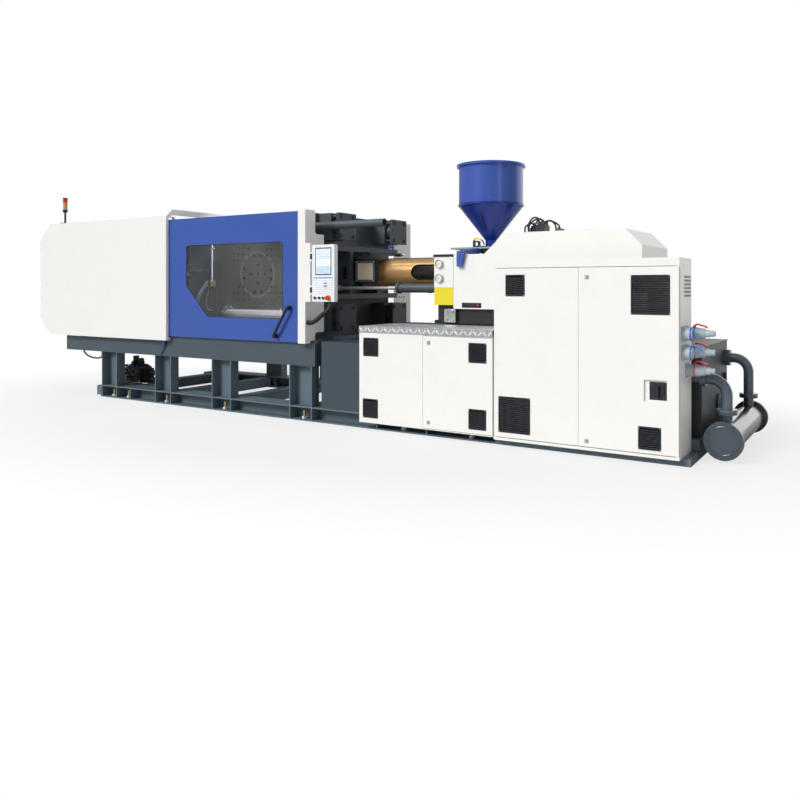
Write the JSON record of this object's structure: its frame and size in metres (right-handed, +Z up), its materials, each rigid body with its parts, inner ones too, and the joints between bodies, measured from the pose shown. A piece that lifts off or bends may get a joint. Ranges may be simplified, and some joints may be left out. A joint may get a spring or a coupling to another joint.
{
  "type": "toggle-clamp injection moulding machine",
  "caption": "Horizontal toggle-clamp injection moulding machine with sliding guard doors, hopper, control panel, cabinets and cooler.",
  "frame": {"origin": "On the floor, on the injection axis seen from above, under the mould face of the fixed platen, on the underside of the base's cross plate.", "axes": "+X runs along the machine from the clamp end to the injection end, +Z is up, and the operator stands on the -Y side."},
  "size_m": [7.723, 1.886, 2.3103],
  "materials": {
    "base_paint": "semi-gloss",
    "cover_white": "satin",
    "door_blue": "satin",
    "cast_grey": "painted",
    "machined_steel": "ground",
    "chromed_rod": "polished",
    "black_paint": "matt",
    "black_plastic": "matt",
    "barrel_gold": "satin",
    "hopper_blue": "gloss",
    "window_clear": "clear",
    "red_plastic": "gloss",
    "grey_plastic": "satin",
    "tread_steel": "chequered",
    "tank_paint": "semi-gloss",
    "cooler_paint": "gloss",
    "lens_plastic": "translucent",
    "panel_white": "satin"
  },
  "bodies": {
    "base": {"base_rails": "base_paint", "base_struts": "base_paint", "clamp_beams": "base_paint", "injection_base": "base_paint", "levelling_bolts": "machined_steel", "fixed_platen": "cast_grey", "tie_bars": "chromed_rod", "tie_bar_nuts": "cast_grey", "front_cover": "cover_white", "rear_cover": "cover_white", "guard_frame": "cover_white", "stack_light": "lens_plastic", "overhead_pipe": "cast_grey", "hmi_bracket": "cover_white", "hmi_conduit": "black_plastic", "platen_rods": "chromed_rod", "electrical_cabinet": "panel_white", "power_sockets": "grey_plastic", "lower_cabinet": "panel_white", "tread_plate": "tread_steel", "oil_tank": "tank_paint", "heat_exchanger": "cooler_paint", "cooler_pipes": "cooler_paint", "pump_motor": "tank_paint", "valve_manifold": "cast_grey"},
    "front_door": {"front_door": "door_blue", "front_window": "window_clear", "door_handle": "black_plastic"},
    "rear_door": {"rear_door": "door_blue", "rear_window": "window_clear"},
    "hmi": {"hmi_housing": "cover_white"},
    "estop": {"estop_button": "red_plastic"},
    "tail": {"tail_stock": "cast_grey", "clamp_cylinder": "cast_grey"},
    "platen": {"moving_platen": "cast_grey", "ejector_cylinder": "cast_grey"},
    "ejector": {"ejector_plate": "machined_steel"},
    "upper_rear": {"upper_rear_link": "machined_steel"},
    "lower_rear": {"lower_rear_link": "machined_steel"},
    "upper_front": {"upper_front_link": "machined_steel"},
    "lower_front": {"lower_front_link": "machined_steel"},
    "upper_cross": {"upper_cross_link": "machined_steel"},
    "lower_cross": {"lower_cross_link": "machined_steel"},
    "crosshead": {"crosshead": "machined_steel"},
    "carriage": {"carriage": "black_paint", "barrel": "machined_steel", "barrel_cover": "barrel_gold", "hood": "cover_white", "gauge_panel": "cover_white", "carriage_cylinders": "black_paint", "hopper_base": "machined_steel"},
    "thrust": {"thrust_plate": "cast_grey"},
    "screw": {"screw": "machined_steel"},
    "hopper": {"hopper": "hopper_blue"},
    "gate": {"hopper_gate": "machined_steel"},
    "guard": {"purge_guard": "black_paint"},
    "left_door": {"left_cabinet_door": "panel_white"},
    "right_door": {"right_cabinet_door": "panel_white"},
    "knob": {"isolator_knob": "black_plastic"},
    "low_door": {"lower_door": "panel_white"}
  },
  "joints": [
    {"name": "front_door_slide", "type": "slide", "parent": "base", "child": "front_door", "axis": [-1, 0, 0], "range_m": [0, 1.4]},
    {"name": "rear_door_slide", "type": "slide", "parent": "base", "child": "rear_door", "axis": [-1, 0, 0], "range_m": [0, 1.4]},
    {"name": "hmi_swivel", "type": "hinge", "parent": "base", "child": "hmi", "pos_m": [0.541, -0.922, 1.33], "axis": [0, 0, -1], "range_deg": [0, 90]},
    {"name": "estop_push", "type": "slide", "parent": "hmi", "child": "estop", "axis": [0, 1, 0], "range_m": [0, 0.006], "stiffness_N_per_m": 900},
    {"name": "mould_height", "type": "slide", "parent": "base", "child": "tail", "axis": [1, 0, 0], "range_m": [-0.39, 0.09]},
    {"name": "mould_stroke", "type": "slide", "parent": "tail", "child": "platen", "axis": [1, 0, 0], "range_m": [0, 0.6695]},
    {"name": "crosshead_slide", "type": "slide", "parent": "tail", "child": "crosshead", "axis": [1, 0, 0], "range_m": [0, 0.2887]},
    {"name": "upper_rear_hinge", "type": "hinge", "parent": "tail", "child": "upper_rear", "pos_m": [-1.92021, 0, 1.832], "axis": [0, -1, 0], "range_deg": [0, 100.1]},
    {"name": "lower_rear_hinge", "type": "hinge", "parent": "tail", "child": "lower_rear", "pos_m": [-1.92021, 0, 0.872], "axis": [0, 1, 0], "range_deg": [0, 100.1]},
    {"name": "upper_front_hinge", "type": "hinge", "parent": "platen", "child": "upper_front", "pos_m": [-1.55, 0, 1.852], "axis": [0, 1, 0], "range_deg": [0, 42.63]},
    {"name": "lower_front_hinge", "type": "hinge", "parent": "platen", "child": "lower_front", "pos_m": [-1.55, 0, 0.852], "axis": [0, -1, 0], "range_deg": [0, 42.63]},
    {"name": "upper_cross_hinge", "type": "hinge", "parent": "crosshead", "child": "upper_cross", "pos_m": [-1.83108, 0, 1.492], "axis": [0, 1, 0], "range_deg": [0, 30.5]},
    {"name": "lower_cross_hinge", "type": "hinge", "parent": "crosshead", "child": "lower_cross", "pos_m": [-1.83108, 0, 1.212], "axis": [0, -1, 0], "range_deg": [0, 30.5]},
    {"name": "ejector_slide", "type": "slide", "parent": "platen", "child": "ejector", "axis": [1, 0, 0], "range_m": [0, 0.15]},
    {"name": "carriage_slide", "type": "slide", "parent": "base", "child": "carriage", "axis": [1, 0, 0], "range_m": [0, 0.35]},
    {"name": "injection_slide", "type": "slide", "parent": "carriage", "child": "thrust", "axis": [1, 0, 0], "range_m": [0, 0.25]},
    {"name": "screw_spin", "type": "hinge", "parent": "thrust", "child": "screw", "pos_m": [2.2, 0, 1.352], "axis": [1, 0, 0], "continuous": true},
    {"name": "hopper_slide", "type": "slide", "parent": "carriage", "child": "hopper", "axis": [-1, 0, 0], "range_m": [0, 0.25]},
    {"name": "gate_slide", "type": "slide", "parent": "hopper", "child": "gate", "axis": [-1, 0, 0], "range_m": [0, 0.09]},
    {"name": "purge_guard_hinge", "type": "hinge", "parent": "base", "child": "guard", "pos_m": [0.6, 0.225, 1.535], "axis": [-1, 0, 0], "range_deg": [0, 95]},
    {"name": "left_cabinet_hinge", "type": "hinge", "parent": "base", "child": "left_door", "pos_m": [2.372, -0.922, 0.7], "axis": [0, 0, -1], "range_deg": [0, 90]},
    {"name": "right_cabinet_hinge", "type": "hinge", "parent": "base", "child": "right_door", "pos_m": [3.74, -0.922, 0.7], "axis": [0, 0, 1], "range_deg": [0, 95]},
    {"name": "isolator_turn", "type": "hinge", "parent": "right_door", "child": "knob", "pos_m": [3.607, -0.916, 0.505], "axis": [0, 1, 0], "range_deg": [0, 90]},
    {"name": "lower_door_hinge", "type": "hinge", "parent": "base", "child": "low_door", "pos_m": [2.34, -0.922, 0.45], "axis": [0, 0, 1], "range_deg": [0, 90]}
  ],
  "couplings": [
    {"joint": "crosshead_slide", "follows": "mould_stroke", "ratio": 0.42981},
    {"joint": "upper_rear_hinge", "follows": "mould_stroke", "rad_per_m": 2.607},
    {"joint": "upper_front_hinge", "follows": "mould_stroke", "rad_per_m": 1.1087},
    {"joint": "upper_cross_hinge", "follows": "mould_stroke", "rad_per_m": 0.79251},
    {"joint": "lower_rear_hinge", "follows": "mould_stroke", "rad_per_m": 2.607},
    {"joint": "lower_front_hinge", "follows": "mould_stroke", "rad_per_m": 1.1087},
    {"joint": "lower_cross_hinge", "follows": "mould_stroke", "rad_per_m": 0.79251}
  ]
}
